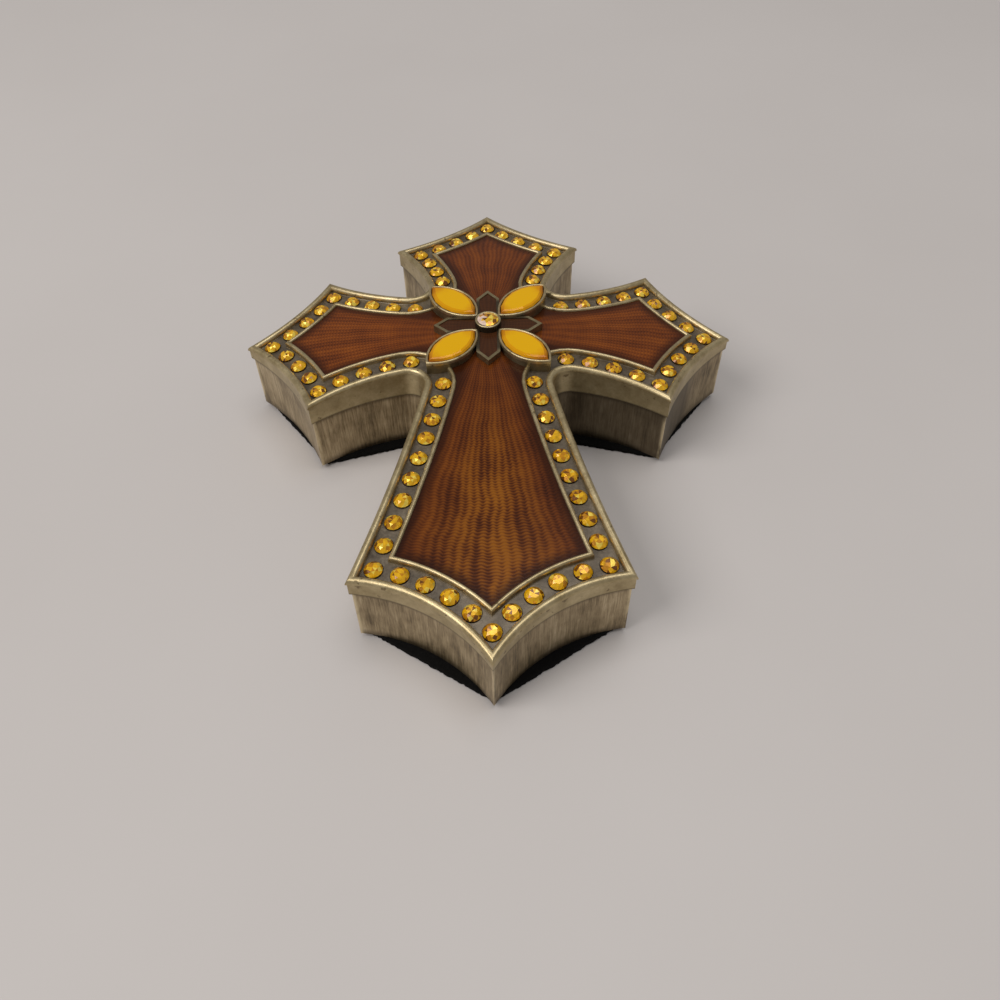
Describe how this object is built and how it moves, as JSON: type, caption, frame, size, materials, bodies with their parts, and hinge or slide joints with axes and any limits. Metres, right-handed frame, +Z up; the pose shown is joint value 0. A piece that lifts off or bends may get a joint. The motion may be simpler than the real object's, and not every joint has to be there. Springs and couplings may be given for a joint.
{
  "type": "trinket box",
  "caption": "Cross-shaped trinket box: cast tray on a felt pad with a domed lift-off lid set with round and marquise stones around brown enamel panels.",
  "frame": {"origin": "crossing of the arms, on the plane that the felt pad rests on", "axes": "+Z up out of the lid, +Y towards the short head of the cross, +X towards its right arm"},
  "size_m": [0.0736, 0.0903, 0.0171],
  "materials": {
    "antique_brass": "antiqued, brushed",
    "brown_enamel": "translucent gloss over a rayed ground",
    "dark_enamel": "gloss",
    "round_stone": "faceted, foil backed",
    "marquise_stone": "table cut, foil backed",
    "black_felt": "matt felt"
  },
  "bodies": {
    "box": {"base_tray": "antique_brass", "felt_pad": "black_felt"},
    "lid": {"lid_shell": "antique_brass", "ornament": "antique_brass", "ornament_enamel": "dark_enamel", "centre_stone": "round_stone", "enamel_head": "brown_enamel", "enamel_left_arm": "brown_enamel", "enamel_foot": "brown_enamel", "enamel_right_arm": "brown_enamel", "marquise_back_left": "marquise_stone", "marquise_back_right": "marquise_stone", "marquise_front_left": "marquise_stone", "marquise_front_right": "marquise_stone", "foot_right_stones": "round_stone", "foot_left_stones": "round_stone", "foot_end_stones": "round_stone", "right_arm_front_stones": "round_stone", "right_arm_back_stones": "round_stone", "right_arm_end_stones": "round_stone", "left_arm_front_stones": "round_stone", "left_arm_back_stones": "round_stone", "left_arm_end_stones": "round_stone", "head_right_stones": "round_stone", "head_left_stones": "round_stone", "head_end_stones": "round_stone"}
  },
  "joints": [
    {"name": "lid_lift", "type": "slide", "parent": "box", "child": "lid", "axis": [0, 0, 1], "range_m": [0, 0.04]}
  ]
}
